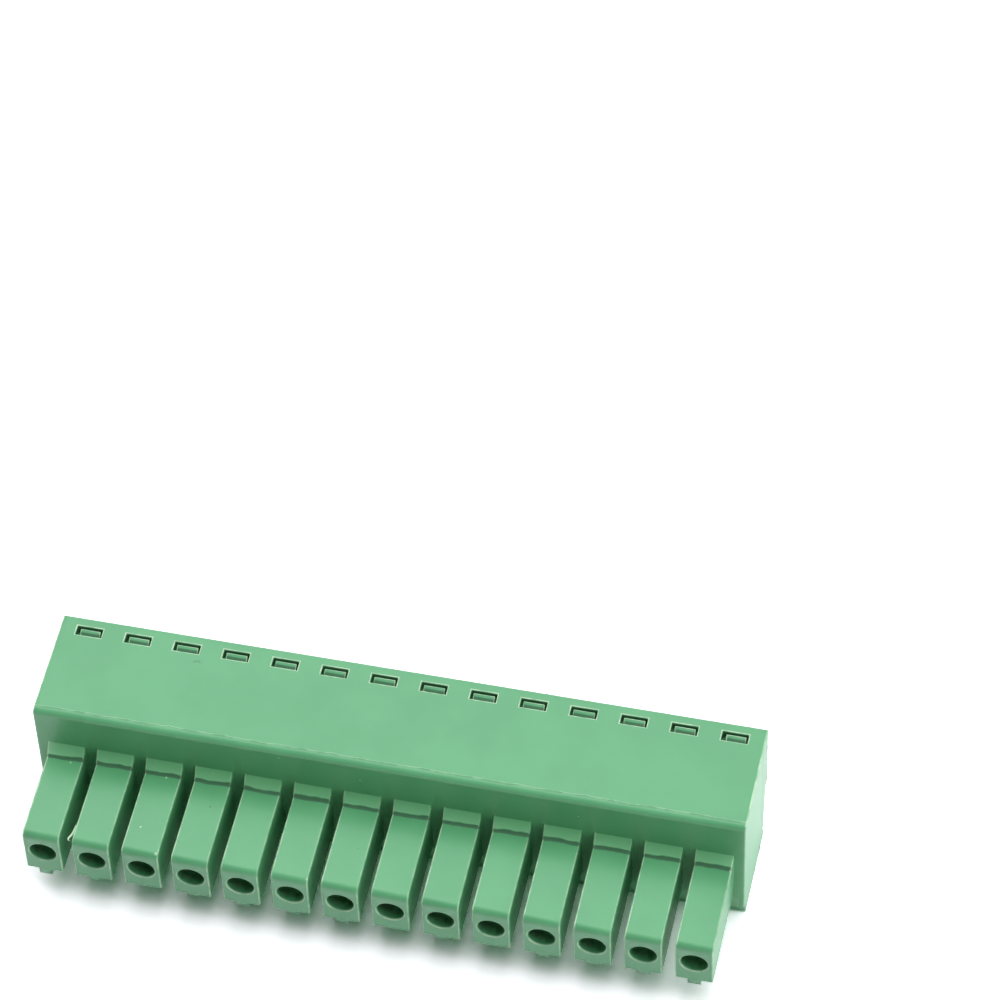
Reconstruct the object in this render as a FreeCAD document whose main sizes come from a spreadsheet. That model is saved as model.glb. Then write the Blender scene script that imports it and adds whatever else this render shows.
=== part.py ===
import FreeCAD, Part
import Sketcher
import os
from math import atan2, sqrt
from types import SimpleNamespace
from FreeCAD import Vector

# A 14-pole plug with screw clamps at 3.5 mm pitch, lying on its screw face.
# X runs along the row, Z is up, the fingers point to -Y and the wires go in from +Y.
# The origin is the middle of the rectangle that the plug covers, on its lowest face.
# "Depth" is a distance forward from the rear face, the face with the wire entries.

sizes = [
    ("poleCount", 14, "poles in the row"),
    ("polePitch", 3.5, "from pole to pole"),
    ("wellWidth", 2.87, "width of a wire entry and of the clamp chamber behind it"),
    ("endWall", 0.665, "wall beyond the last chamber"),
    ("bodyHeight", 11.1, "from the screw face to the latch face"),
    ("frontWall", 1.1, "from the chambers to the front face"),
    ("floorWall", 1.15, "from the screw face to the chambers"),
    ("frontEdgeRadius", 0.5, "round edge between the front and latch faces"),
    ("footHeight", 1.4, "height of the relief along the foot of the front face"),
    ("footStep", 0.45, "how far the front face steps in at the foot"),
    ("footDraft", 0.1, "slope of the relief, in its height and in its depth"),
    ("footChamfer", 0.1, "bevel along the foot"),

    ("seamGap", 0.05, "play between the rear cover and its seat"),
    ("topWall", 0.75, "housing wall over the rear cover"),
    ("lipHeight", 0.55, "housing lip under the rear cover"),
    ("lipSetback", 1.1, "depth of the lip's rear edge"),
    ("flangeDepth", 1.95, "depth of the cover's seat at the two ends"),
    ("plugReach", 2.45, "depth of the front of the cover's inner part"),
    ("recessWall", 0.35, "housing wall beside the cover's inner part"),
    ("wellRoof", 0.6, "cover above the wire entries"),
    ("wellHeight", 3.95, "height of a wire entry"),
    ("noseHeight", 0.7, "cover under the wire entries"),
    ("noseLedge", 0.45, "how far the cover steps in under its nose"),
    ("scoopDrop", 0.25, "from the ledge down to the hollow"),
    ("scoopStart", 0.5, "depth of the hollow at its upper end"),
    ("scoopRadius", 13.0, "radius of the hollow under the nose"),
    ("rabbetHeight", 0.35, "groove along the foot of the cover"),
    ("rabbetDepth", 0.3, "depth of that groove"),

    ("windowWidth", 1.84, "latch window along the row"),
    ("windowLength", 0.75, "latch window across the row"),
    ("windowSetback", 0.71, "depth of the window's rear edge"),
    ("nubSideGap", 0.145, "window to latch nub, at each side"),
    ("nubRearGap", 0.15, "window to latch nub, at the rear"),
    ("nubFrontGap", 0.04, "window to latch nub, at the front"),
    ("nubSunk", 0.1, "latch nub below the latch face"),
    ("nubRamp", 0.4, "fall of the latch nub towards the front"),

    ("fingerLength", 7.2, "from the front face to the finger tips"),
    ("fingerWidth", 2.6, "finger along the row"),
    ("fingerHeight", 4.0, "finger from its underside to its top"),
    ("fingerBottom", 2.75, "height of the finger's underside"),
    ("tipRadius", 0.5, "radius of the upper edge of the tip"),
    ("shoulderRise", 0.85, "slope at the root of a finger, upwards"),
    ("shoulderRun", 0.65, "slope at the root of a finger, forwards"),
    ("shoulderStep", 0.1, "step from the slope down to the finger"),
    ("gussetSize", 0.4, "fillet strip under the root of a finger"),
    ("keyWidth", 0.9, "rib under a finger, along the row"),
    ("keyHeight", 0.6, "rib under a finger, downwards"),

    ("pinHeight", 4.8, "height of the pin holes' centres"),
    ("pinHole", 1.9, "diameter of a pin hole"),
    ("pinSize", 1.0, "thickness of the pin that the contact grips"),
    ("tipWall", 0.8, "end wall of a finger"),
    ("socketGap", 0.1, "contact space above and below the pin hole"),

    ("contactWidth", 1.6, "contact strip along the row"),
    ("contactSheet", 0.35, "thickness of the contact strip"),
    ("contactSideGap", 0.2, "contact strip to the wall of its finger"),
    ("contactRearGap", 0.1, "rear cover to contact strip"),
    ("contactEndGap", 0.6, "contact strip to the end wall of its finger"),
    ("legSetback", 0.25, "front face to the root of the spring's leg"),
    ("legRoot", 0.45, "root of the leg along the strip"),
    ("legRun", 1.2, "slope of the leg, forwards"),
    ("pinchRise", 0.12, "crest that presses on the pin"),
    ("pinchSetback", 0.8, "crest to the end of the contact"),
    ("flareDrop", 0.15, "fall of the spring at its free end"),
    ("flareSetback", 0.15, "spring shorter than the strip"),
    ("rampRun", 1.0, "rise of the spring towards its crest"),

    ("chamberDepth", 4.7, "clamp chamber, rear to front"),
    ("cageSideGap", 0.1, "cage to chamber, at each side"),
    ("cageEndGap", 0.25, "cage to chamber, front and rear"),
    ("cageTopGap", 0.25, "cage to the roof of its chamber"),
    ("cageStripGap", 0.15, "threaded wall to the contact strip"),
    ("threadWall", 1.3, "threaded wall of the cage"),
    ("clampOpening", 2.85, "inside height of the cage"),
    ("jawThickness", 0.6, "wall that presses on the wire"),
    ("cageLand", 0.05, "inside of the cage beyond the thread, at each side"),

    ("screwShank", 1.9, "diameter of the screw"),
    ("threadGap", 0.05, "screw to cage thread, on the radius"),
    ("headGap", 0.185, "screw head to chamber wall"),
    ("headPlay", 0.05, "screw head to the floor"),
    ("headHeight", 0.9, "height of the screw head"),
    ("headSeat", 0.1, "ring of floor that keeps the head in"),
    ("slotWidth", 0.4, "width of the driver slot"),
    ("slotDepth", 0.45, "depth of the driver slot"),
    ("tipGap", 0.05, "tip of the screw to the contact strip"),
]


class Size:
    """A number in millimetres, with the expression that ties it to the sheet."""

    def __init__(self, value, text):
        self.value = value
        self.text = text

    def joined(self, sign, other, value):
        return Size(value, "(%s %s %s)" % (self.text, sign, other.text))

    def __add__(self, other):
        other = asSize(other)
        return self.joined("+", other, self.value + other.value)

    def __sub__(self, other):
        other = asSize(other)
        return self.joined("-", other, self.value - other.value)

    def __mul__(self, other):
        other = asSize(other)
        return self.joined("*", other, self.value * other.value)

    def __truediv__(self, other):
        other = asSize(other)
        return self.joined("/", other, self.value / other.value)

    def __rmul__(self, other):
        return asSize(other) * self

    def __neg__(self):
        return asSize(-1) * self


def asSize(number):
    return number if isinstance(number, Size) else Size(number, "(%s)" % number)


doc = FreeCAD.newDocument("TerminalPlug")
sheet = doc.addObject("Spreadsheet::Sheet", "Sizes")
size = SimpleNamespace()
for row, (name, number, note) in enumerate(sizes, start=1):
    sheet.set("A%d" % row, name)
    sheet.set("B%d" % row, str(number))
    sheet.setAlias("B%d" % row, name)
    sheet.set("C%d" % row, note)
    setattr(size, name, Size(number, "Sizes." + name))
doc.recompute()

# What follows from the sheet: the outer sizes first, then what lines up inside.
bodyLength = (size.poleCount - 1) * size.polePitch + size.wellWidth + 2 * size.endWall
firstPole = -(size.poleCount - 1) * size.polePitch / 2

chamberRear = size.plugReach + size.seamGap
chamberFront = chamberRear + size.chamberDepth
screwDepth = chamberRear + size.chamberDepth / 2
bodyDepth = chamberFront + size.frontWall
totalDepth = bodyDepth + size.fingerLength
socketEnd = totalDepth - size.tipWall

seatTop = size.bodyHeight - size.topWall
coverTop = seatTop - size.seamGap
coverBottom = size.lipHeight + size.seamGap
wellTop = coverTop - size.wellRoof
wellBottom = wellTop - size.wellHeight
noseBottom = wellBottom - size.noseHeight

fingerTop = size.fingerBottom + size.fingerHeight
socketWidth = size.contactWidth + 2 * size.contactSideGap
stripBottom = size.pinHeight + size.pinSize / 2
stripTop = stripBottom + size.contactSheet
springTop = size.pinHeight - size.pinSize / 2
springBottom = springTop - size.contactSheet

cageWidth = size.wellWidth - 2 * size.cageSideGap
cageBore = size.screwShank + 2 * size.threadGap
cageInside = cageBore + 2 * size.cageLand
cageFloor = stripBottom - size.cageStripGap
cageBottom = cageFloor - size.threadWall
jawBottom = cageFloor + size.clampOpening
cageTop = jawBottom + size.jawThickness
chamberTop = cageTop + size.cageTopGap

headDiameter = size.wellWidth - 2 * size.headGap
headBottom = size.floorWall + size.headPlay
headTop = headBottom + size.headHeight
screwTip = stripBottom - size.tipGap
accessHole = headDiameter - 2 * size.headSeat


def atDepth(depth):
    """The Y of a place at this depth from the rear face."""
    return totalDepth / 2 - depth


def bind(thing, property, value):
    thing.setExpression(property, asSize(value).text)


def newBody(label):
    body = doc.addObject("PartDesign::Body", label)
    body.Label = label
    return body


def originFeature(body, role):
    return [part for part in body.Origin.OriginFeatures if part.Role == role][0]


def newSketch(body, name, plane, offset=()):
    """A sketch on one of the body's own planes, moved by offset in the sketch's axes."""
    sketch = body.newObject("Sketcher::SketchObject", name)
    sketch.AttachmentSupport = [(originFeature(body, plane), "")]
    sketch.MapMode = "FlatFace"
    for axis, distance in zip("xyz", offset):
        bind(sketch, "AttachmentOffset.Base." + axis, distance)
    return sketch


def arcBetween(begin, finish, radius, turn):
    """The shorter arc from begin to finish; turn is 1 anticlockwise and -1 clockwise."""
    chord = finish - begin
    rise = sqrt(max(radius ** 2 - (chord.Length / 2) ** 2, 0)) / chord.Length
    centre = (begin + finish) / 2 + Vector(-chord.y, chord.x, 0) * rise * turn
    first, last = (begin, finish) if turn > 0 else (finish, begin)
    angles = [atan2(end.y - centre.y, end.x - centre.x) for end in (first, last)]
    return Part.ArcOfCircle(Part.Circle(centre, Vector(0, 0, 1), radius), *angles)


def pin(sketch, edge, end, x, y):
    """Hold one end of an edge at x, y from the sketch's origin."""
    for kind, distance in (("DistanceX", x), ("DistanceY", y)):
        distance = asSize(distance)
        held = sketch.addConstraint(Sketcher.Constraint(kind, -1, 1, edge, end, distance.value))
        bind(sketch, "Constraints[%d]" % held, distance)


def outline(sketch, corners):
    """A closed outline. A corner is (x, y), or (x, y, radius, turn) where an arc leads to it."""
    places = [Vector(asSize(corner[0]).value, asSize(corner[1]).value, 0) for corner in corners]
    edges = []
    for number, corner in enumerate(corners):
        begin, finish = places[number - 1], places[number]
        if len(corner) == 2:
            edge = sketch.addGeometry(Part.LineSegment(begin, finish))
            ends = (1, 2)
        else:
            x, y, radius, turn = corner
            edge = sketch.addGeometry(arcBetween(begin, finish, radius.value, turn))
            ends = (1, 2) if turn > 0 else (2, 1)
            held = sketch.addConstraint(Sketcher.Constraint("Radius", edge, radius.value))
            bind(sketch, "Constraints[%d]" % held, radius)
        edges.append((edge, ends))
    for number, corner in enumerate(corners):
        edge, (start, end) = edges[number]
        previous, (_, previousEnd) = edges[number - 1]
        sketch.addConstraint(Sketcher.Constraint("Coincident", previous, previousEnd, edge, start))
        pin(sketch, edge, end, corner[0], corner[1])


def rectangle(sketch, left, bottom, right, top):
    outline(sketch, [(right, bottom), (right, top), (left, top), (left, bottom)])


def circle(sketch, x, y, diameter):
    x, y, radius = asSize(x), asSize(y), diameter / 2
    place = Vector(x.value, y.value, 0)
    edge = sketch.addGeometry(Part.Circle(place, Vector(0, 0, 1), radius.value))
    pin(sketch, edge, 3, x, y)
    held = sketch.addConstraint(Sketcher.Constraint("Radius", edge, radius.value))
    bind(sketch, "Constraints[%d]" % held, radius)


def extrude(body, kind, name, sketch, length, symmetric=False, backwards=False):
    """A Pad goes along its sketch's normal and a Pocket against it, unless backwards."""
    feature = body.newObject("PartDesign::" + kind, name)
    feature.Profile = sketch
    feature.SideType = "Symmetric" if symmetric else "One side"
    feature.Reversed = backwards
    bind(feature, "Length", length)
    sketch.Visibility = False
    return feature


def turn(body, kind, name, sketch, axis):
    """A Revolution, a full turn about the sketch's H_Axis or V_Axis."""
    feature = body.newObject("PartDesign::" + kind, name)
    feature.Profile = sketch
    feature.ReferenceAxis = (sketch, [axis])
    feature.Angle = 360
    sketch.Visibility = False
    return feature


def alongRow(body, name, features):
    """Repeat the first pole's features at every pole."""
    pattern = body.newObject("PartDesign::LinearPattern", name)
    pattern.Originals = features
    pattern.Direction = (originFeature(body, "X_Axis"), [""])
    pattern.Mode = "Spacing"
    bind(pattern, "Offset", size.polePitch)
    bind(pattern, "Occurrences", size.poleCount)
    body.Tip = pattern
    return pattern


def addFingers(body):
    """The first pole's finger, with its rib and sloped root, and then the whole row."""
    half = size.fingerWidth / 2
    keyHalf = size.keyWidth / 2
    keyBottom = size.fingerBottom - size.keyHeight
    section = newSketch(body, "FingerSection", "XZ_Plane", (firstPole, 0, -atDepth(bodyDepth)))
    outline(section, [
        (-half, size.fingerBottom), (-keyHalf, size.fingerBottom), (-keyHalf, keyBottom),
        (keyHalf, keyBottom), (keyHalf, size.fingerBottom), (half, size.fingerBottom),
        (half, fingerTop), (-half, fingerTop),
    ])
    finger = extrude(body, "Pad", "Finger", section, size.fingerLength)

    slope = newSketch(body, "RootSection", "YZ_Plane", (0, 0, firstPole))
    shoulderFront = atDepth(bodyDepth + size.shoulderRun)
    outline(slope, [
        (atDepth(bodyDepth), fingerTop + size.shoulderRise),
        (shoulderFront, fingerTop + size.shoulderStep),
        (shoulderFront, size.pinHeight),
        (atDepth(bodyDepth + size.gussetSize), size.fingerBottom),
        (atDepth(bodyDepth), size.fingerBottom - size.gussetSize),
    ])
    root = extrude(body, "Pad", "FingerRoot", slope, size.fingerWidth, symmetric=True)
    alongRow(body, "FingerRow", [finger, root])


def roundTips(body):
    """One cut along the row rounds the upper edge of all finger tips."""
    tip = atDepth(totalDepth)
    tips = newSketch(body, "TipEdges", "YZ_Plane")
    outline(tips, [
        (tip, fingerTop), (tip, fingerTop - size.tipRadius),
        (tip + size.tipRadius, fingerTop, size.tipRadius, -1),
    ])
    extrude(body, "Pocket", "RoundTips", tips, bodyLength, symmetric=True)


def addChambers(body):
    """What the first pole is hollowed out for, and then the whole row."""
    wellHalf = size.wellWidth / 2
    room = newSketch(body, "ChamberSection", "XZ_Plane", (firstPole, 0, -atDepth(chamberRear)))
    rectangle(room, -wellHalf, size.floorWall, wellHalf, chamberTop)
    chamber = extrude(body, "Pocket", "Chamber", room, size.chamberDepth, backwards=True)

    half = socketWidth / 2
    reach = size.pinHole / 2 + size.socketGap
    space = newSketch(body, "SocketSection", "XZ_Plane", (firstPole, 0, -atDepth(chamberFront)))
    rectangle(space, -half, size.pinHeight - reach, half, size.pinHeight + reach)
    socket = extrude(body, "Pocket", "Socket", space, socketEnd - chamberFront, backwards=True)

    bore = newSketch(body, "PinHoleOutline", "XZ_Plane", (firstPole, 0, -atDepth(socketEnd)))
    circle(bore, 0, size.pinHeight, size.pinHole)
    pinHole = extrude(body, "Pocket", "PinHole", bore, size.tipWall, backwards=True)

    bore = newSketch(body, "DriverHoleOutline", "XY_Plane", (firstPole, atDepth(screwDepth), 0))
    circle(bore, 0, 0, accessHole)
    driverHole = extrude(body, "Pocket", "DriverHole", bore, size.floorWall, backwards=True)

    windowHalf = size.windowWidth / 2
    rearEdge = atDepth(size.windowSetback)
    opening = newSketch(body, "WindowOutline", "XY_Plane", (firstPole, 0, size.bodyHeight))
    rectangle(opening, -windowHalf, rearEdge - size.windowLength, windowHalf, rearEdge)
    window = extrude(body, "Pocket", "Window", opening, size.topWall)
    alongRow(body, "PoleRow", [chamber, socket, pinHole, driverHole, window])


def makeHousing():
    """The moulded housing: the block, its fingers, and the chambers that open to the rear."""
    body = newBody("housing")
    rear, front = atDepth(0), atDepth(bodyDepth)
    foot = front + size.footStep
    lip = atDepth(size.lipSetback)
    seat = atDepth(size.flangeDepth)
    side = newSketch(body, "SideProfile", "YZ_Plane")
    outline(side, [
        (lip, 0), (lip, size.lipHeight), (seat, size.lipHeight), (seat, seatTop),
        (rear, seatTop), (rear, size.bodyHeight),
        (front + size.frontEdgeRadius, size.bodyHeight),
        (front, size.bodyHeight - size.frontEdgeRadius, size.frontEdgeRadius, 1),
        (front, size.footHeight), (foot, size.footHeight - size.footDraft),
        (foot + size.footDraft, size.footChamfer),
        (foot + size.footDraft + size.footChamfer, 0),
    ])
    extrude(body, "Pad", "Block", side, bodyLength, symmetric=True)
    addFingers(body)
    roundTips(body)

    half = bodyLength / 2 - size.recessWall
    seatOutline = newSketch(body, "SeatOutline", "XZ_Plane", (0, 0, -atDepth(size.flangeDepth)))
    rectangle(seatOutline, -half, size.lipHeight, half, seatTop)
    extrude(body, "Pocket", "CoverSeat", seatOutline, chamberRear - size.flangeDepth,
            backwards=True)
    addChambers(body)


def makeCover():
    """The rear cover: nose and hollow outside, wire entries through it, latch nubs on top."""
    body = newBody("rear_cover")
    rear = atDepth(0)
    flange = size.flangeDepth - size.seamGap
    ledge = rear - size.noseLedge
    foot = atDepth(size.lipSetback)
    groove = foot - size.rabbetDepth
    grooveTop = coverBottom + size.rabbetHeight
    side = newSketch(body, "SideProfile", "YZ_Plane")
    outline(side, [
        (rear, noseBottom), (rear, coverTop), (atDepth(flange), coverTop),
        (atDepth(flange), coverBottom), (groove, coverBottom), (groove, grooveTop),
        (foot, grooveTop),
        (atDepth(size.scoopStart), noseBottom - size.scoopDrop, size.scoopRadius, -1),
        (ledge, noseBottom),
    ])
    extrude(body, "Pad", "Plate", side, bodyLength, symmetric=True)

    half = bodyLength / 2 - size.recessWall - size.seamGap
    inner = newSketch(body, "InnerOutline", "XZ_Plane", (0, 0, -atDepth(flange)))
    rectangle(inner, -half, coverBottom, half, coverTop)
    extrude(body, "Pad", "InnerPart", inner, size.plugReach - flange)

    wellHalf = size.wellWidth / 2
    entry = newSketch(body, "WellOutline", "XZ_Plane", (firstPole, 0, -rear))
    rectangle(entry, -wellHalf, wellBottom, wellHalf, wellTop)
    well = extrude(body, "Pocket", "Well", entry, size.plugReach, backwards=True)

    nubRear = atDepth(size.windowSetback + size.nubRearGap)
    nubFront = atDepth(size.windowSetback + size.windowLength - size.nubFrontGap)
    nubTop = size.bodyHeight - size.nubSunk
    ramp = newSketch(body, "NubSection", "YZ_Plane", (0, 0, firstPole))
    outline(ramp, [(nubFront, coverTop), (nubRear, coverTop), (nubRear, nubTop),
                   (nubFront, nubTop - size.nubRamp)])
    nub = extrude(body, "Pad", "LatchNub", ramp, size.windowWidth - 2 * size.nubSideGap,
                  symmetric=True)
    alongRow(body, "WellRow", [well, nub])


def makeScrew(body):
    """A captive clamp screw, head down, with a driver slot across its head."""
    headRadius, shankRadius = headDiameter / 2, size.screwShank / 2
    half = newSketch(body, "ScrewProfile", "XZ_Plane")
    outline(half, [
        (0, headBottom), (headRadius, headBottom), (headRadius, headTop),
        (shankRadius, headTop), (shankRadius, screwTip), (0, screwTip),
    ])
    turn(body, "Revolution", "Blank", half, "V_Axis")
    across = newSketch(body, "SlotOutline", "XY_Plane", (0, 0, headBottom))
    rectangle(across, -size.slotWidth / 2, -headDiameter, size.slotWidth / 2, headDiameter)
    extrude(body, "Pocket", "Slot", across, size.slotDepth, backwards=True)


def makeCage(body):
    """A clamp cage: a sleeve round the contact strip, with a thick threaded wall below."""
    outer, inner = cageWidth / 2, cageInside / 2
    length = size.chamberDepth - 2 * size.cageEndGap
    section = newSketch(body, "SleeveSection", "XZ_Plane")
    rectangle(section, -outer, cageBottom, outer, cageTop)
    rectangle(section, -inner, cageFloor, inner, jawBottom)
    extrude(body, "Pad", "Sleeve", section, length, symmetric=True)
    thread = newSketch(body, "ThreadOutline", "XY_Plane", (0, 0, cageBottom))
    circle(thread, 0, 0, cageBore)
    extrude(body, "Pocket", "Thread", thread, size.threadWall, backwards=True)


def makeContact(body):
    """A contact: a strip from the clamp to the finger, with a spring leaf lanced out under it."""
    rear = atDepth(size.plugReach + size.contactRearGap)
    front = atDepth(socketEnd - size.contactEndGap)
    legBack = atDepth(bodyDepth + size.legSetback)
    legFront = legBack - size.legRoot
    crest = front + size.pinchSetback
    rampStart = crest + size.rampRun
    free = front + size.flareSetback
    side = newSketch(body, "StripProfile", "YZ_Plane")
    outline(side, [
        (rear, stripBottom), (rear, stripTop), (front, stripTop), (front, stripBottom),
        (legFront, stripBottom), (legFront - size.legRun, springTop),
        (rampStart, springTop), (crest, springTop + size.pinchRise),
        (free, springTop - size.flareDrop), (free, springBottom - size.flareDrop),
        (crest, springBottom + size.pinchRise), (rampStart, springBottom),
        (legBack - size.legRun, springBottom), (legBack, stripBottom),
    ])
    extrude(body, "Pad", "Strip", side, size.contactWidth, symmetric=True)


def onePerPole(label, make, depth):
    """One body at every pole, with its own axis at this depth, or at the part's origin."""
    for pole in range(size.poleCount.value):
        body = newBody("%s_%02d" % (label, pole + 1))
        make(body)
        bind(body, "Placement.Base.x", firstPole + pole * size.polePitch)
        if depth:
            bind(body, "Placement.Base.y", atDepth(depth))


makeHousing()
makeCover()
onePerPole("clamp_screw", makeScrew, screwDepth)
onePerPole("clamp_cage", makeCage, screwDepth)
onePerPole("contact", makeContact, None)
doc.recompute()

# Every object has to be sound, and every cut or addition has to have done its work.
bodies = [thing for thing in doc.Objects if thing.TypeId == "PartDesign::Body"]
for thing in doc.Objects:
    if "Invalid" in thing.State or "Error" in thing.State:
        raise RuntimeError("%s failed: %s" % (thing.Label, thing.State))
for body in bodies:
    if body.Shape.isNull() or not body.Shape.isValid() or len(body.Shape.Solids) != 1:
        raise RuntimeError("%s is not one sound solid" % body.Label)
    volume = 0
    for feature in body.Group:
        if not feature.TypeId.startswith("PartDesign::"):
            continue
        cuts = feature.TypeId in ("PartDesign::Pocket", "PartDesign::Groove")
        if not cuts and feature.Shape.Volume <= volume and feature is not body.Tip:
            raise RuntimeError("%s adds nothing to %s" % (feature.Label, body.Label))
        if cuts and feature.Shape.Volume >= volume:
            raise RuntimeError("%s cuts nothing from %s" % (feature.Label, body.Label))
        volume = feature.Shape.Volume

os.makedirs("parts", exist_ok=True)
for body in bodies:
    body.Shape.exportStep(os.path.join("parts", body.Label + ".step"))
print("%d bodies written" % len(bodies))
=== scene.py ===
import math
from functools import reduce

import bpy
from mathutils import Matrix, Vector


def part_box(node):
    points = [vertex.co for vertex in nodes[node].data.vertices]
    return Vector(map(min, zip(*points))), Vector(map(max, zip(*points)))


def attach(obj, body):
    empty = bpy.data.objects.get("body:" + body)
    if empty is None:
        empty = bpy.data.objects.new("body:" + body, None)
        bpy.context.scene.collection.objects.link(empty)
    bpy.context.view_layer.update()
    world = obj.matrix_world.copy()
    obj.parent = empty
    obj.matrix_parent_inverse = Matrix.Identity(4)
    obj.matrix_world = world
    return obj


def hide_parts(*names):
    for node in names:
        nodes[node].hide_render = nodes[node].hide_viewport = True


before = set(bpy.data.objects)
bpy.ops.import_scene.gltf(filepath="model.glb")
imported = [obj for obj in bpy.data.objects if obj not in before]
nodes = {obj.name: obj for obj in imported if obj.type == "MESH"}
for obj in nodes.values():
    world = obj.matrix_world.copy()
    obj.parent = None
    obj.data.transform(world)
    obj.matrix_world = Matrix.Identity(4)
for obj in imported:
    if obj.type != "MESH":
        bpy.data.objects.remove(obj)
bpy.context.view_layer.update()        # the imported meshes, their placing baked in
poles = sorted(name[-2:] for name in nodes if name.startswith("clamp_screw"))
mm = 0.001
hair = 0.02              # a point this near a face, in millimetres, counts as on it


def corners(node):
    # lowest and highest corner of a solid, in millimetres
    low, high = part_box(node)
    return low / mm, high / mm


def middle(node):
    return [(low + high) / 2 for low, high in zip(*corners(node))]


shellLow, shellHigh = corners("housing")
coverHigh = corners("rear_cover")[1]
poleX = [middle("clamp_screw_" + pole)[0] for pole in poles]
screwY = middle("clamp_screw_01")[1]
pitch = poleX[1] - poleX[0]
between = [poleX[0] - pitch / 2 + step * pitch for step in range(len(poleX) + 1)]

finger = {
    "long": 7.2,
    "foot": 2.75,            # Z of the underside
    "top": 6.75,             # Z of the flat top
    "pinHeight": 4.8,
    "pinHole": 0.95,         # radius
    "socket": 1.05,          # half the width of the hollow inside
}
fingerStart = shellLow.y + finger["long"]


def nearestPole(x):
    return min(range(len(poleX)), key=lambda pole: abs(poleX[pole] - x))


def offPole(x):
    return abs(poleX[nearestPole(x)] - x)


# One output of a shader node, so that shader maths reads as plain sums.
class Wire:
    def __init__(self, shader, socket):
        self.shader, self.socket = shader, socket

    def math(self, operation, *values):
        return self.shader.add("ShaderNodeMath", {"operation": operation}, values)

    def __add__(self, other):
        return self.math("ADD", self, other)

    def __radd__(self, other):
        return self.math("ADD", other, self)

    def __sub__(self, other):
        return self.math("SUBTRACT", self, other)

    def __rsub__(self, other):
        return self.math("SUBTRACT", other, self)

    def __mul__(self, other):
        return self.math("MULTIPLY", self, other)

    def __rmul__(self, other):
        return self.math("MULTIPLY", other, self)

    def __abs__(self):
        return self.math("ABSOLUTE", self)

    def either(self, other):
        return self.math("MAXIMUM", self, other)

    def ramp(self, low, high):
        # 0 before low and 1 past high, eased between; low may be the larger
        settings = {"interpolation_type": "SMOOTHSTEP"}
        if low < high:
            return self.shader.add("ShaderNodeMapRange", settings, [self, low, high])
        return 1 - self.shader.add("ShaderNodeMapRange", settings, [self, high, low])


def most(*masks):
    return reduce(Wire.either, masks)


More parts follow.
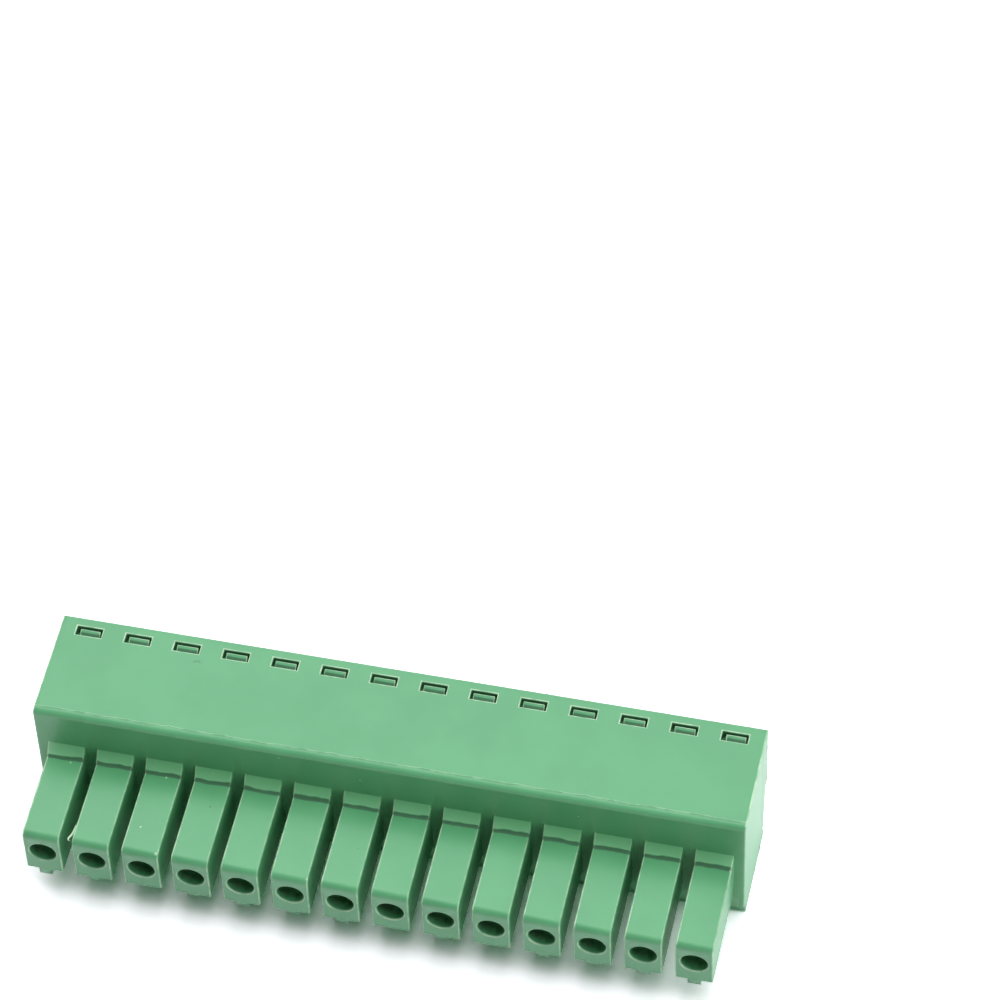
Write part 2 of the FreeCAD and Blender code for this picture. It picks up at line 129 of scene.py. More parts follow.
# The nodes of one material or world, added one by one and fed to its surface.
class Shader:
    def __init__(self, owner, surface="Principled BSDF", **fixed):
        owner.use_nodes = True
        self.owner, self.tree = owner, owner.node_tree
        self.surface = self.tree.nodes[surface]
        self.spot = None
        for socket, value in fixed.items():
            self.surface.inputs[socket.replace("_", " ")].default_value = value

    def add(self, kind, settings, inputs, output=0):
        node = self.tree.nodes.new(kind)
        for key, value in settings.items():
            setattr(node, key, value)
        pairs = inputs.items() if isinstance(inputs, dict) else enumerate(inputs)
        for where, value in pairs:
            self.link(value, node.inputs[where])
        return Wire(self, node.outputs[output])

    def link(self, value, socket):
        if isinstance(value, Wire):
            self.tree.links.new(value.socket, socket)
        else:
            socket.default_value = value

    def feed(self, socket, value):
        self.link(value, self.surface.inputs[socket])

    def outputs(self, kind, names, inputs=()):
        # several outputs of one new node
        node = self.add(kind, {}, inputs).socket.node
        return [Wire(self, node.outputs[name]) for name in names]

    def here(self):
        # the place on the piece, in metres, from one node that every pattern shares
        if self.spot is None:
            self.spot = self.add("ShaderNodeTexCoord", {}, [], "Object")
        return self.spot

    def axes(self):
        # the same along X, Y and Z, in millimetres
        split = self.outputs("ShaderNodeSeparateXYZ", "XYZ", [self.here()])
        return [axis * (1 / mm) for axis in split]

    def noise(self, size, detail=2.0, stretch=None):
        # size is the width of one blotch in millimetres
        where = self.here()
        if stretch:
            where = self.add("ShaderNodeMapping", {}, {"Vector": where, "Scale": stretch})
        inputs = {"Vector": where, "Scale": 1 / (size * mm), "Detail": detail}
        return self.add("ShaderNodeTexNoise", {}, inputs)

    def specks(self, apart, size, share):
        # sparse spots: one in each cell, kept where the cell's own number is under share
        inputs = {"Vector": self.here(), "Scale": 1 / (apart * mm)}
        away, colour = self.outputs("ShaderNodeTexVoronoi", ("Distance", "Color"), inputs)
        number = self.add("ShaderNodeSeparateColor", {}, [colour])
        near = away.ramp(size / apart, 0.4 * size / apart)
        return near * number.ramp(share + 0.01, share)

    def spots(self, places):
        # soft spots at set places, each an X, Y, Z and radius in millimetres
        total = 0.0
        for *centre, radius in places:
            point = [part * mm for part in centre]
            away = self.add("ShaderNodeVectorMath", {"operation": "DISTANCE"},
                            [self.here(), point], "Value")
            total = total + away.ramp(radius * mm, 0.5 * radius * mm)
        return total

    def blend(self, factor, first, second):
        # for colours, the Mix node's sockets 6 and 7 and its output 2
        settings = {"data_type": "RGBA"}
        return self.add("ShaderNodeMix", settings, {0: factor, 6: first, 7: second}, 2)

    def bump(self, height, depth, below=None):
        # depth in millimetres for a height of 1
        inputs = {"Strength": 1.0, "Distance": depth * mm, "Height": height}
        if below:
            inputs["Normal"] = below
        return self.add("ShaderNodeBump", {}, inputs)

    def painted(self, attribute):
        # a number that the piece's own mesh carries
        settings = {"attribute_name": attribute}
        return self.add("ShaderNodeAttribute", settings, [], "Fac")

    def flat(self):
        # the way the face itself points, before any smoothing
        return self.add("ShaderNodeNewGeometry", {}, [], "True Normal")

    def steep(self):
        # 1 on walls and 0 on anything near level
        up = self.outputs("ShaderNodeSeparateXYZ", "Z", [self.flat()])[0]
        return abs(up).ramp(0.45, 0.20)

    def edge(self, radius):
        # near 0 on flat ground and larger on the edges of the shape
        rounded = self.add("ShaderNodeBevel", {"samples": 6}, {"Radius": radius * mm})
        settings = {"operation": "DOT_PRODUCT"}
        return 1 - self.add("ShaderNodeVectorMath", settings, [rounded, self.flat()], "Value")

    def rays(self, *kinds):
        # 1 for rays of these kinds and 0 for the others
        names = ["Is " + kind + " Ray" for kind in kinds]
        return most(*self.outputs("ShaderNodeLightPath", names))


plastic = {
    "colour": (0.105, 0.390, 0.178, 1),
    "deep": (0.088, 0.355, 0.157, 1),
    "pale": (0.70, 0.92, 0.66, 1),           # stressed and rubbed edges, painted highlights on edges, flash and chips
    "dark": (0.030, 0.130, 0.058, 1),        # scuffs and grime, and painted shade
    "slope": (0.27, 0.69, 0.36, 1),          # painted light on the slopes of the shoulders
    "roughness": 0.38,
    "waves": 0.012,                          # depths in millimetres
    "flaws": 0.02,
    "grain": 0.0015,
    "partingLine": (0.0, 0.32),              # Y on the top, and how far it wanders
    "crease": (-1.19, 0.22),                 # Y on the fingers, and how far it wanders
    "scuff": (-14.7, 5.68),                  # X and Y on the top
    "scuffBend": 1.1,
    "nubGap": 6.70,                          # Y where the latch nubs come out of the shade
    "windows": (6.22, 7.10),                 # Y just outside the latch windows
    "chips": (1.9, 0.09, 0.08),              # how far apart, how wide, and the share kept
    "pits": (2.6, 0.07, 0.08),
    # how strongly each pale or dark mark shows, flaws and painted shade alike
    "shows": {"chips": 0.6, "flash": 0.26, "nicks": 0.5, "grime": 0.35, "scuff": 0.6,
              "pits": 0.5, "crease": 0.85, "dirt": 0.6, "gaps": 0.9, "seam": 0.8},
    # single flaws: X, Y, Z and radius
    "nicks": [(-16.18, -5.61, 6.75, 0.09), (-15.49, -1.32, 6.75, 0.10), (-22.3, -1.4, 6.75, 0.09),
              (-12.23, -0.73, 7.42, 0.12), (24.0, -1.24, 6.70, 0.16), (-14.6, -7.5, 6.70, 0.15),
              (-4.0, -7.5, 6.70, 0.13), (3.1, -0.8, 7.3, 0.10)],
    "dirt": [(-11.91, -3.07, 6.75, 0.10), (-1.2, -4.4, 6.75, 0.07)],
    "crumbs": [(24.85, 7.55, 9.2, 0.34), (24.85, 7.60, 5.6, 0.24), (24.85, 7.60, 3.0, 0.22),
               (24.85, 7.50, 0.3, 0.26), (24.85, 5.20, 0.1, 0.32), (24.85, 3.50, 0.1, 0.22)],
}


def partingLine(shader, y):
    # a thread of flash along the front of the top, with grime beside it
    lengthwise = (1, 0.01, 0.01)
    line, wander = plastic["partingLine"]
    off = y - (shader.noise(1.6, 3.0, lengthwise) - 0.5) * wander - line
    along = shader.noise(1.1, 2.0, lengthwise)
    flash = abs(off).ramp(0.07, 0.015) * along.ramp(0.30, 0.55)
    grime = abs(off + 0.09).ramp(0.07, 0.02) * along.ramp(0.60, 0.42)
    return flash, grime


def curvedScuff(shader, x, y):
    middleX, middleY = plastic["scuff"]
    x, y = x - middleX, y - middleY
    arc = abs(y + x * x * plastic["scuffBend"]).ramp(0.13, 0.03)
    return arc * abs(x).ramp(0.42, 0.15) * shader.noise(0.15).ramp(0.3, 0.6)


def fingerCrease(shader, y, z):
    # painted shade where a finger leaves its shoulder, a little wavy
    line, wander = plastic["crease"]
    wavy = (shader.noise(1.3, 2.0) - 0.5) * wander
    onFinger = z.ramp(finger["top"] - 0.20, finger["top"] - 0.05)
    return abs(y - line + wavy).ramp(0.12, 0.05) * onFinger


def nubGapShade(shader, x, y, z):
    # painted shade in the gaps round the latch nubs: on the windows' walls, and on the floor
    # before the nubs
    ahead, behind = plastic["windows"]
    top, end, nub = shellHigh.z, shellHigh.x, plastic["nubGap"]
    window = y.ramp(ahead, ahead + 0.05) * y.ramp(behind, behind - 0.05)
    window = window * z.ramp(top - 1.5, top - 1.4) * z.ramp(top - 0.06, top - 0.14)
    window = window * abs(x).ramp(end - 0.15, end - 0.25)
    return window * shader.steep().either(y.ramp(nub + 0.03, nub - 0.04))


def rearSeamShade(shader, x, y):
    # patchy dark up the rear edges of the two ends: dirt, and painted shade of the gap there
    back, end = coverHigh.y, shellHigh.x
    edge = y.ramp(back - 0.30, back - 0.13) * abs(x).ramp(end - 0.15, end - 0.05)
    return edge * shader.noise(0.55, 3.0).ramp(0.52, 0.62)


def greenPolyamide():
    shader = Shader(bpy.data.materials.new("green polyamide"), IOR=1.5)
    shows = plastic["shows"]
    x, y, z = shader.axes()
    top = z.ramp(shellHigh.z - 0.35, shellHigh.z - 0.1)
    cloud = shader.noise(4.5, 3.0)
    grain = shader.noise(0.14, 2.0)

    flash, grime = [mask * top for mask in partingLine(shader, y)]
    scuff = curvedScuff(shader, x, y) * top
    chips, pits = [shader.specks(*plastic[name]) * (1 - top) for name in ("chips", "pits")]
    nicks, dirt, crumbs = [shader.spots(plastic[name]) for name in ("nicks", "dirt", "crumbs")]
    crease = fingerCrease(shader, y, z)
    gaps = nubGapShade(shader, x, y, z)
    # painted shade and dirt up the rear seams, with the crumbs there
    seam = rearSeamShade(shader, x, y).either(crumbs)
    # pale where the rounded edges are rubbed and where they carry painted highlights, and painted
    # shade where that is below 0
    edgeWearAndPaintedLight = shader.painted("edgeTone") * (0.45 + 0.55 * shader.noise(0.7, 3.0).ramp(0.35, 0.6))

    body = shader.blend(cloud.ramp(0.3, 0.7), plastic["deep"], plastic["colour"])
    # painted light: the shoulders' slopes are pale, and the block's front face a little paler
    # than the rest
    slopes = y.ramp(fingerStart - 0.02, fingerStart - 0.09)
    slopes = slopes * z.ramp(finger["top"] + 0.15, finger["top"] + 0.25) * (1 - crease)
    front = y.ramp(fingerStart + 0.07, fingerStart + 0.02)
    front = front * y.ramp(fingerStart - 0.07, fingerStart - 0.03)
    body = shader.blend(slopes.either(front * 0.10), body, plastic["slope"])

    pale = most(edgeWearAndPaintedLight, chips * shows["chips"], flash * shows["flash"], nicks * shows["nicks"])
    # the dark: scuffs, pits and dirt, and painted shade in the crease, the nub gaps, the rear
    # seams and on the ribs
    dark = most(grime * shows["grime"], scuff * shows["scuff"], pits * shows["pits"],
                crease * shows["crease"], dirt * shows["dirt"], gaps * shows["gaps"],
                seam * shows["seam"], edgeWearAndPaintedLight * -1)
    body = shader.blend(dark, body, plastic["dark"])
    shader.feed("Base Color", shader.blend(pale, body, plastic["pale"]))
    rough = plastic["roughness"] + 0.10 * (grain - 0.5) + 0.12 * (cloud - 0.5)
    shader.feed("Roughness", rough + 0.45 * seam)
    waves = shader.bump(shader.noise(2.2, 1.0), plastic["waves"])
    flaws = shader.bump(flash - 0.7 * grime + chips + 7 * crumbs, plastic["flaws"], waves)
    shader.feed("Normal", shader.bump(grain, plastic["grain"], flaws))
    return shader.owner


metals = {
    "zinc plated steel": {"colour": (0.54, 0.56, 0.56, 1), "stain": (0.36, 0.35, 0.30, 1),
                          "roughness": 0.30},
    "nickel plated steel": {"colour": (0.56, 0.53, 0.47, 1), "stain": (0.40, 0.36, 0.30, 1),
                            "roughness": 0.26},
    "tinned bronze": {"colour": (0.64, 0.63, 0.60, 1), "stain": (0.47, 0.45, 0.41, 1),
                      "roughness": 0.40},
}


def platedMetal(name):
    metal = metals[name]
    shader = Shader(bpy.data.materials.new(name), Metallic=1.0)
    stain = shader.noise(0.7, 4.0).ramp(0.42, 0.75)
    grain = shader.noise(0.07, 3.0)
    drawn = shader.noise(0.05, 2.0, (1, 0.08, 1))     # fine lines from the strip's rolling
    edgeTone = shader.edge(0.05).ramp(0.02, 0.3)
    bright = tuple(min(1.0, 1.15 * part) for part in metal["colour"])
    stained = shader.blend(stain * 0.8, metal["colour"], metal["stain"])
    shader.feed("Base Color", shader.blend(edgeTone * 0.7, stained, bright))
    shader.feed("Roughness", metal["roughness"] + 0.16 * stain + 0.10 * (grain - 0.5))
    shader.feed("Normal", shader.bump(grain * 0.5 + drawn * 0.5, 0.003))
    return shader.owner


green = greenPolyamide()
steel = platedMetal("zinc plated steel")
nickel = platedMetal("nickel plated steel")
tin = platedMetal("tinned bronze")
print("materials made")


def paint(piece, material):
    piece.data.materials.clear()
    piece.data.materials.append(material)


def place(piece, body, slot, material, *stands):
    paint(piece, material)
    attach(piece, body)
    if stands:
        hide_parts(*stands)


def only(piece):
    bpy.ops.object.select_all(action="DESELECT")
    piece.select_set(True)
    bpy.context.view_layer.objects.active = piece


def edit(piece, kind="FACE"):
    only(piece)
    bpy.ops.object.mode_set(mode="EDIT")
    bpy.ops.mesh.select_mode(type=kind)
    bpy.ops.mesh.select_all(action="SELECT")


def apply(piece, kind, **settings):
    only(piece)
    modifier = piece.modifiers.new(kind.lower(), kind)
    for key, value in settings.items():
        setattr(modifier, key, value)
    bpy.ops.object.modifier_apply(modifier=modifier.name)


def smooth(piece, angle=40):
    only(piece)
    bpy.ops.object.shade_smooth_by_angle(angle=math.radians(angle))
    apply(piece, "WEIGHTED_NORMAL", keep_sharp=True)


def cut(along, at, seam=True, **ends):
    # a flat cut across what is selected, at a place in millimetres along X, Y or Z
    direction = Vector([float(axis == along) for axis in "XYZ"])
    bpy.ops.mesh.select_all(action="SELECT")
    bpy.ops.mesh.bisect(plane_co=direction * at * mm, plane_no=direction,
                        threshold=0.0005 * mm, **ends)
    if seam:
        bpy.ops.mesh.mark_seam()


def copyOf(node, name, cuts):
    # the solid with its triangles joined into whole faces, kept apart at the cuts
    piece = bpy.data.objects.new(name, nodes[node].data.copy())
    bpy.context.scene.collection.objects.link(piece)
    piece.data.name = name
    edit(piece, "EDGE")
    bpy.ops.mesh.remove_doubles(threshold=0.001 * mm)
    for along, at in cuts:
        cut(along, at)
    bpy.ops.mesh.select_all(action="SELECT")
    bpy.ops.mesh.dissolve_limited(angle_limit=math.radians(1), delimit={"SEAM"})
    bpy.ops.mesh.mark_seam(clear=True)
    bpy.ops.object.mode_set(mode="OBJECT")
    return piece


def fresh(name):
    # an empty piece at the origin, open in edit mode
    piece = bpy.data.objects.new(name, bpy.data.meshes.new(name))
    bpy.context.scene.collection.objects.link(piece)
    edit(piece, "VERT")
    return piece


def combine(piece, other, operation):
    apply(piece, "BOOLEAN", object=other, operation=operation, solver="EXACT")
    bpy.data.objects.remove(other)


def outward(piece):
    edit(piece)
    bpy.ops.mesh.remove_doubles(threshold=0.001 * mm)
    bpy.ops.mesh.normals_make_consistent(inside=False)
    bpy.ops.object.mode_set(mode="OBJECT")


def soften(piece, widthAt, edgeToneAt, segments=2):
    # round the sharp edges; widthAt(middle, direction) gives each one's width, and
    # edgeToneAt(middle, normal) how pale its rounding is, or below 0 how dark
    edit(piece, "EDGE")
    bpy.ops.mesh.select_all(action="DESELECT")
    bpy.ops.mesh.edges_select_sharp(sharpness=math.radians(25))
    bpy.ops.object.mode_set(mode="OBJECT")
    mesh = piece.data
    widths = {}
    for edge in mesh.edges:
        if edge.select:
            first, second = [mesh.vertices[i].co / mm for i in edge.vertices]
            widths[edge.index] = widthAt((first + second) / 2, (second - first).normalized())
    widest = max(widths.values())
    weights = mesh.attributes.new("bevel_weight_edge", "FLOAT", "EDGE")
    for index, width in widths.items():
        weights.data[index].value = width / widest
    # the bevel marks the faces that it makes with the second of two materials
    mesh.materials.append(None)
    mesh.materials.append(None)
    apply(piece, "BEVEL", width=widest * mm, segments=segments, limit_method="WEIGHT",
          use_clamp_overlap=False, loop_slide=True, material=1)
    edgeTone = mesh.attributes.new("edgeTone", "FLOAT", "FACE")
    for face in mesh.polygons:
        if face.material_index == 1:
            edgeTone.data[face.index].value = edgeToneAt(face.center / mm, face.normal)
            face.material_index = 0
    smooth(piece)


housing = {
    "edge": 0.035,           # rounding of the moulding's plain edges
    "fingerEdge": 0.10,
    "tipEdge": 0.06,
    "rimEdge": 0.09,         # rim of the pin holes
    "windowEdge": 0.08,
    "outerEdge": 0.10,
    "windows": (6.29, 7.04),     # Y of the latch windows' long edges
    "frontRound": 0.5,       # radius of the round edge along the front of the top
    "shoulderRun": 0.65,
    "shoulderTop": 7.6,
    "shoulderLift": 0.2,     # the shoulders' upper edge stands a little higher than drawn
    # how far the front end of each finger's rib slopes back
    "ribSlope": (0.05, 0.22, 0.50, 0.30, 0.22, 0.26, 0.22, 0.50, 0.25, 0.50, 0.22, 0.28, 0.24,
                 0.08),
    # how pale the rounded edges are painted, for rubbing and painted highlights; below 0 painted
    # shade
    "edgeTone": {"rim": 0.55, "tip": 0.45, "crease": 0, "rib": -0.5, "fingerLeft": 0.9,
               "finger": 0.3, "fingerFront": 0.4, "window": 0.65, "end": 0.6, "top": 0.4,
               "other": 0.12},
}


def housingWidth(where, direction):
    front, rear = housing["windows"]
    alongRow = abs(direction.x) >= 0.5
    onTip = where.y < shellLow.y + hair
    onTop = where.z > shellHigh.z - hair
    if not onTip and where.y < fingerStart and offPole(where.x) < finger["socket"]:
        return 0                     # inside a finger, out of sight
    if onTip and abs(where.z - finger["pinHeight"]) < finger["pinHole"] + hair:
        if offPole(where.x) < finger["pinHole"] + hair:
            return housing["rimEdge"]
    if where.z > finger["foot"] - hair and where.y < fingerStart - 0.1:
        # edges that run on into each other round the tip keep one width
        if not alongRow:
            return housing["fingerEdge"]
        return housing["tipEdge"] if onTip else housing["edge"]
    if onTop and front - 0.1 < where.y < rear + 0.1 and abs(where.x) < shellHigh.x - 0.5:
        return housing["windowEdge"]
    onEnd = abs(abs(where.x) - shellHigh.x) < hair and not alongRow
    if onEnd and (onTop or where.y < fingerStart + housing["frontRound"] + 0.05):
        return housing["outerEdge"]
    if onTop and where.y > shellHigh.y - hair:
        return housing["outerEdge"]
    return housing["edge"]


def housingEdgeWearAndLight(where, normal):
    # rubbing, with painted highlights that are strongest on the fingers' left top edges, round
    # the pin holes and round the latch windows; painted shade on the ribs under the fingers
    edgeTone = housing["edgeTone"]
    aboveFoot = where.z - finger["foot"]
    if where.y < shellLow.y + 0.12 and normal.y < -0.3 and aboveFoot > 0.2:
        across = math.hypot(offPole(where.x), where.z - finger["pinHeight"])
        return edgeTone["rim"] if across < finger["pinHole"] + 0.15 else edgeTone["tip"]
    offCrease = abs(where.y - fingerStart + housing["shoulderRun"])
    if offCrease < 0.15 and abs(where.z - finger["top"]) < 0.2:
        return edgeTone["crease"]
    # painted shade on the ribs under the fingers
    if aboveFoot < 0 and where.y < fingerStart:
        return edgeTone["rib"]
    if aboveFoot > -0.1 and where.y < fingerStart - 0.1:
        if normal.z > 0.2:
            return edgeTone["fingerLeft"] if normal.x < -0.2 else edgeTone["finger"]
        if normal.y < -0.1:
            return edgeTone["fingerFront"]
    if where.z > shellHigh.z - 0.1:
        if where.y < housing["windows"][1] + 0.1 and abs(where.x) < shellHigh.x - 0.5:
            return edgeTone["window"]
        return edgeTone["end"] if abs(where.x) > shellHigh.x - 0.12 else edgeTone["top"]
    return edgeTone["other"]


def makeHousing():
    front, rear = housing["windows"]
    cuts = [("X", x) for x in between + poleX]
    cuts += [("Y", y) for y in (rear, front, screwY)]
    cuts += [("Z", z) for z in (finger["pinHeight"], finger["foot"])]
    shell = copyOf("housing", "housing_moulding", cuts)
    # the shoulders' upper edge rises, and the ribs' front ends slope back
    for vertex in shell.data.vertices:
        where = vertex.co / mm
        onShoulder = abs(where.z - housing["shoulderTop"]) < hair
        if onShoulder and abs(where.y - fingerStart) < hair:
            vertex.co.z += housing["shoulderLift"] * mm
        if where.y < shellLow.y + hair and where.z < finger["foot"] - 0.1:
            vertex.co.y += housing["ribSlope"][nearestPole(where.x)] * mm
    soften(shell, housingWidth, housingEdgeWearAndLight)
    place(shell, "root", "green_polyamide", green, "housing")
    print("housing made,", len(shell.data.polygons), "faces")


makeHousing()

cover = {
    "edge": 0.035,
    "wellEdge": 0.05,
    "nubEdge": 0.07,
    "wellBottom": 6.20,
    "wellTop": 10.15,
    "nubs": (6.2, 7.0),      # Y that the latch nubs lie between
    "nubHigh": 0.55,
    "nubTop": 0.3,           # how deep below the top a nub's upper edges reach
    "nubSide": 0.7,          # what stands further left of the pole is a nub's left side
    # how far each latch nub's left side stands back from where it was drawn
    "nubShort": (0.12, 0.10, 0.03, 0.05, 0.04, 0.02, 0.03, 0.04, 0.02, 0.03, 0.02, 0.04, 0.08,
                 0.16),
    # how pale the rounded edges are painted: rubbing, and a painted highlight on the latch nubs
    "edgeTone": {"nub": 0.6, "other": 0.15},
}


def coverWidth(where, direction):
    if where.y > coverHigh.y - hair:
        return cover["wellEdge"]
    return cover["nubEdge"] if where.z > coverHigh.z - cover["nubTop"] else cover["edge"]


def coverEdgeWearAndLight(where, normal):
    return cover["edgeTone"]["nub" if where.z > coverHigh.z - cover["nubTop"] else "other"]


def makeCover():
    ahead, behind = cover["nubs"]
    cuts = [("X", x) for x in between]
    cuts += [("Z", cover["wellBottom"]), ("Z", cover["wellTop"])]
    plate = copyOf("rear_cover", "cover_moulding", cuts)
    for vertex in plate.data.vertices:
        where = vertex.co / mm
        pole = nearestPole(where.x)
        onNub = where.z > coverHigh.z - cover["nubHigh"] and ahead < where.y < behind
        if onNub and where.x < poleX[pole] - cover["nubSide"]:
            vertex.co.x += cover["nubShort"][pole] * mm
    soften(plate, coverWidth, coverEdgeWearAndLight)
    place(plate, "root", "green_polyamide", green, "rear_cover")
    print("cover made,", len(plate.data.polygons), "faces")


makeCover()

whisker = {
    "start": (-20.57, -6.3, 6.73),
    "thin": 0.025,
    "sides": 6,
    # each step on from there, and how much thicker it gets
    "steps": [(-0.02, -0.45, 0.0, 1.8), (-0.03, -0.30, 0.0, 1.5), (-0.09, -0.25, 0.0, 1.1),
              (-0.11, -0.18, -0.03, 0.8), (0.05, -0.11, -0.05, 0.8), (0.13, -0.02, 0.0, 0.5)],
    "edgeTone": 0.9,
}


def makeWhisker():
    # a curl of flash left on one finger's top edge
    curl = fresh("flash_whisker")
    at = Vector(whisker["start"]) * mm
    bpy.ops.mesh.primitive_circle_add(
        vertices=whisker["sides"], radius=whisker["thin"] * mm, fill_type="NGON",
        location=at, rotation=(math.radians(90), 0, 0))
    for *step, thicker in whisker["steps"]:
        move = Vector(step) * mm
        at = at + move
        bpy.ops.mesh.extrude_region_move(TRANSFORM_OT_translate={"value": move})
        bpy.ops.transform.resize(value=(thicker, thicker, thicker), center_override=at)
    bpy.ops.object.mode_set(mode="OBJECT")
    outward(curl)
    edgeTone = curl.data.attributes.new("edgeTone", "FLOAT", "FACE")
    for face in curl.data.polygons:
        edgeTone.data[face.index].value = whisker["edgeTone"]
    smooth(curl)
    place(curl, "root", "green_polyamide", green)
    print("whisker made,", len(curl.data.polygons), "faces")


makeWhisker()


def grooves(name, node, height, grip):
    # V-shaped bars that cut the wire's grip into a flat at some height
    low, high = corners(node)
    bars = fresh(name)
    for y in grip["gripAt"]:
        bpy.ops.mesh.primitive_cylinder_add(
            vertices=4, radius=grip["gripDeep"] * mm, depth=grip["gripLong"] * mm,
            location=((low.x + high.x) / 2 * mm, y * mm, height * mm),
            rotation=(0, math.radians(90), 0))
    bpy.ops.object.mode_set(mode="OBJECT")
    return bars


def atPoles(master, stem, madeAt, bodyStem, slot, material, standStem):
    # one piece at each pole, each with its own mesh, moved there from where it was made
    for pole, x in zip(poles, poleX):
        piece = master.copy()
        piece.data = master.data.copy()
        piece.name = piece.data.name = stem + "_" + pole
        piece.data.transform(Matrix.Translation(Vector((x - madeAt[0], madeAt[1], 0)) * mm))
        bpy.context.scene.collection.objects.link(piece)
        body = bodyStem + "_" + pole if bodyStem else "root"
        place(piece, body, slot, material, standStem + "_" + pole)
    bpy.data.objects.remove(master)


screw = {
    "headHigh": 0.9,
    "headSides": 48,
    "headEdge": 0.06,
    "slot": (0.4, 3.0, 0.45),     # across, along and up into the head
    "crest": 0.94,                # radii of the thread
    "root": 0.71,
    "lead": 0.4,
    "flank": 0.36,                # shares of the lead
    "flat": 0.14,
    "turns": 12,
    "sides": 28,
    "sunk": 0.3,                  # how far inside the head the thread starts
}


def makeHead(low, high):
    # a round head with a driver slot across its underside
    head = fresh("screw_master")
    bpy.ops.mesh.primitive_cylinder_add(
        vertices=screw["headSides"], radius=(high.x - low.x) / 2 * mm,
        depth=screw["headHigh"] * mm, location=(0, 0, (low.z + screw["headHigh"] / 2) * mm))
    bpy.ops.object.mode_set(mode="OBJECT")
    across, along, deep = screw["slot"]
    tool = fresh("driver_slot")
    bpy.ops.mesh.primitive_cube_add(size=1)
    bpy.ops.transform.resize(value=(across * mm, along * mm, 2 * deep * mm))
    bpy.ops.transform.translate(value=(0, 0, low.z * mm))
    bpy.ops.object.mode_set(mode="OBJECT")
    combine(head, tool, "DIFFERENCE")
    apply(head, "BEVEL", width=screw["headEdge"] * mm, segments=2, limit_method="ANGLE",
          angle_limit=math.radians(40))
    return head


def makeThread(low, high):
    # one point extruded into the thread's profile, then wound round the Z axis
    thread = fresh("thread")
    lead, root, crest = screw["lead"], screw["root"], screw["crest"]
    bpy.ops.mesh.primitive_plane_add(size=0.1 * mm, location=(root * mm, 0, low.z * mm))
    bpy.ops.mesh.merge(type="CENTER")
    flank, flat = screw["flank"] * lead, screw["flat"] * lead
    for out, up in ((crest - root, flank), (0, flat), (root - crest, flank), (0, flat)):
        bpy.ops.mesh.extrude_vertices_move(
            TRANSFORM_OT_translate={"value": (out * mm, 0, up * mm)})
    bpy.ops.object.mode_set(mode="OBJECT")
    apply(thread, "SCREW", axis="Z", angle=math.tau, screw_offset=lead * mm,
          iterations=screw["turns"], steps=screw["sides"], render_steps=screw["sides"])
    outward(thread)
    edit(thread)
    start = low.z + screw["headHigh"] - screw["sunk"]
    cut("Z", start, seam=False, use_fill=True, clear_inner=True)
    cut("Z", high.z, seam=False, use_fill=True, clear_outer=True)
    bpy.ops.object.mode_set(mode="OBJECT")
    outward(thread)
    return thread


def makeScrew():
    low, high = corners("clamp_screw_01")
    head = makeHead(low, high)
    combine(head, makeThread(low, high), "UNION")
    smooth(head, 35)
    print("screw made,", len(head.data.polygons), "faces")
    return head


atPoles(makeScrew(), "threaded_screw", (0, screwY), "screw", "screw_steel", steel,
        "clamp_screw")

cage = {
    "corner": 0.22,
    "edge": 0.035,
    "floor": 5.15,                # Z of the top of the threaded wall
    "mouth": 1.02,                # half the width of the thread's mouth in it
    "jaw": 8.0,                   # Z of the underside of the jaw
    "gripAt": (1.9, 2.9, 3.9),    # Y of the grooves that grip the wire
    "gripDeep": 0.11,
    "gripLong": 2.0,
}
cageLow, cageHigh = corners("clamp_cage_01")


def cageWidth(where, direction):
    if abs(where.z - cage["floor"]) < hair and abs(where.y - screwY) < cage["mouth"]:
        return 0                     # the thread's upper mouth all but meets the walls
    onSide = where.x < cageLow.x + hair or where.x > cageHigh.x - hair
    onCorner = onSide and (where.z < cageLow.z + hair or where.z > cageHigh.z - hair)
    return cage["corner"] if onCorner and abs(direction.y) > 0.9 else cage["edge"]


def makeCage():
    sleeve = copyOf("clamp_cage_01", "cage_master", [("X", poleX[0]), ("Y", screwY)])
    soften(sleeve, cageWidth, lambda where, normal: 0, 3)
    combine(sleeve, grooves("jaw_grooves", "clamp_cage_01", cage["jaw"], cage), "DIFFERENCE")
    smooth(sleeve)
    print("cage made,", len(sleeve.data.polygons), "faces")
    return sleeve


atPoles(makeCage(), "sleeve_cage", (poleX[0], 0), "cage", "nickel_plated", nickel,
        "clamp_cage")

contact = {
    "edge": 0.05,
    "gripAt": (1.5, 2.2, 3.6, 4.3),
    "gripDeep": 0.07,
    "gripLong": 1.3,
}


def makeContact():
    top = corners("contact_01")[1].z
    strip = copyOf("contact_01", "contact_master", [])
    soften(strip, lambda where, direction: contact["edge"], lambda where, normal: 0)
    combine(strip, grooves("strip_grooves", "contact_01", top, contact), "DIFFERENCE")
    smooth(strip)
    print("contact made,", len(strip.data.polygons), "faces")
    return strip


atPoles(makeContact(), "contact_strip", (poleX[0], 0), None, "tinned_contact", tin,
        "contact")

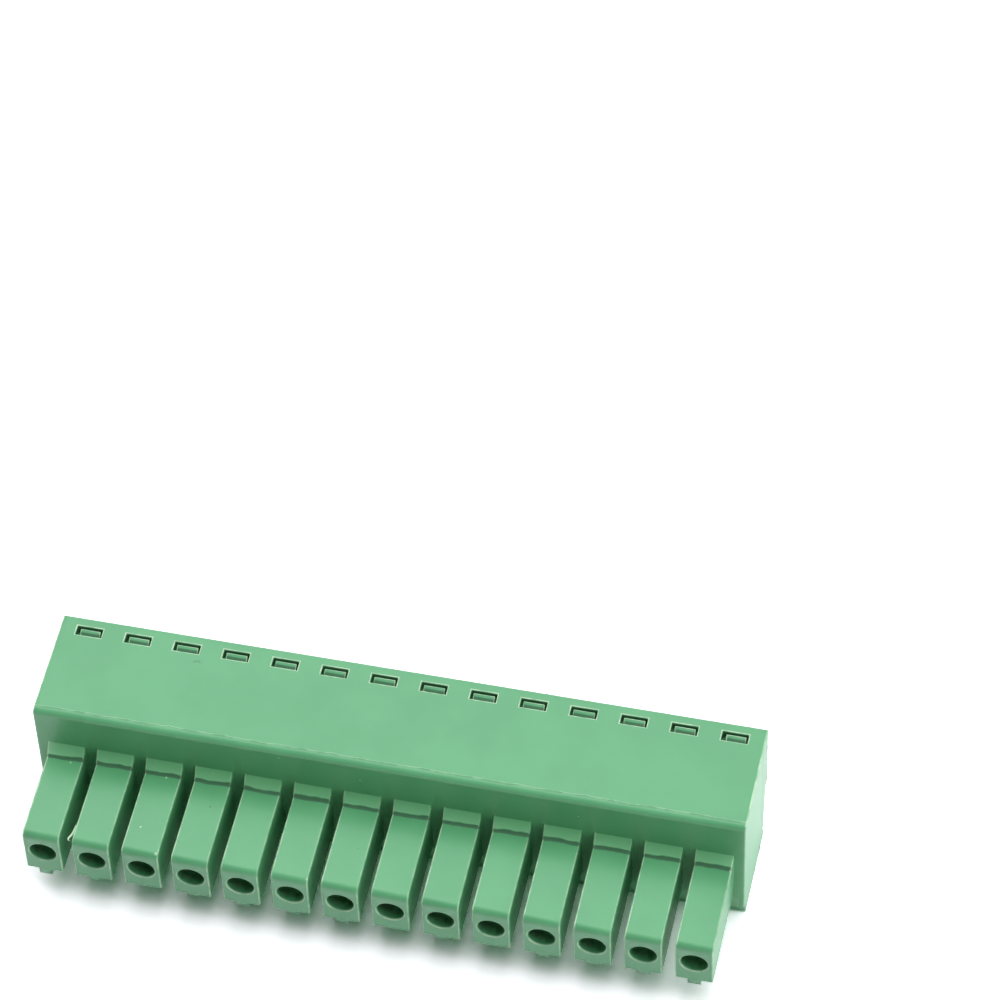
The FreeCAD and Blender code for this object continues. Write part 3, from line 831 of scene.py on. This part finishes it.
room = {
    "under": -0.01,                           # millimetres, just clear of the part
    "wide": 3.0,                              # metres
    "table": (0.92, 0.92, 0.93, 1),
    "bright": (1.75, 1.70, 1.80, 1),          # the table as the camera and mirrors see it
    "fill": 0.03,                             # the air's own light
    "white": 1.0,                             # and the air as the camera and mirrors see it
}


def makeTable():
    bpy.ops.mesh.primitive_plane_add(size=room["wide"], location=(0, 0, room["under"] * mm))
    table = bpy.context.object
    table.name = "table"
    shader = Shader(bpy.data.materials.new("white table"), Roughness=0.7,
                    Specular_IOR_Level=0.2)
    seen = shader.rays("Camera", "Glossy", "Transmission")
    shader.feed("Base Color", shader.blend(seen, room["table"], room["bright"]))
    paint(table, shader.owner)


def makeRoom():
    shader = Shader(bpy.data.worlds.new("white room"), "Background", Color=(1, 1, 1, 1))
    seen = shader.rays("Camera", "Glossy")
    shader.feed("Strength", room["fill"] + (room["white"] - room["fill"]) * seen)
    bpy.context.scene.world = shader.owner


# metres and watts
studio = {
    "overhead": {"at": (0.02, 0.05, 0.51), "size": (1.20, 0.40), "power": 4.1},
    "behind": {"at": (-0.05, 0.34, 0.40), "size": (0.35, 0.35), "power": 0.5},
    "right": {"at": (0.50, 0.02, 0.20), "size": (0.30, 0.30), "power": 0.9},
}


def makeSoftbox(name):
    # an area light that looks at the middle of the part
    lamp = studio[name]
    data = bpy.data.lights.new(name + " softbox", "AREA")
    data.shape = "RECTANGLE"
    data.size, data.size_y = lamp["size"]
    data.energy = lamp["power"]
    box = bpy.data.objects.new(data.name, data)
    box.location = lamp["at"]
    box.rotation_euler = (-Vector(lamp["at"])).to_track_quat("-Z", "Y").to_euler()
    bpy.context.scene.collection.objects.link(box)


camera = {
    "at": (56.88, -186.67, 293.69),           # millimetres
    "turned": (37.485, 1.591, 12.381),        # degrees
    "lens": 182.0,
}


def makeCamera():
    data = bpy.data.cameras.new("camera")
    data.lens = camera["lens"]
    eye = bpy.data.objects.new("camera", data)
    eye.location = Vector(camera["at"]) * mm
    eye.rotation_euler = [math.radians(angle) for angle in camera["turned"]]
    bpy.context.scene.collection.objects.link(eye)
    bpy.context.scene.camera = eye


makeTable()
makeRoom()
for name in studio:
    makeSoftbox(name)
makeCamera()
bpy.context.scene.view_settings.view_transform = "Standard"
print("stage, lights and camera set")
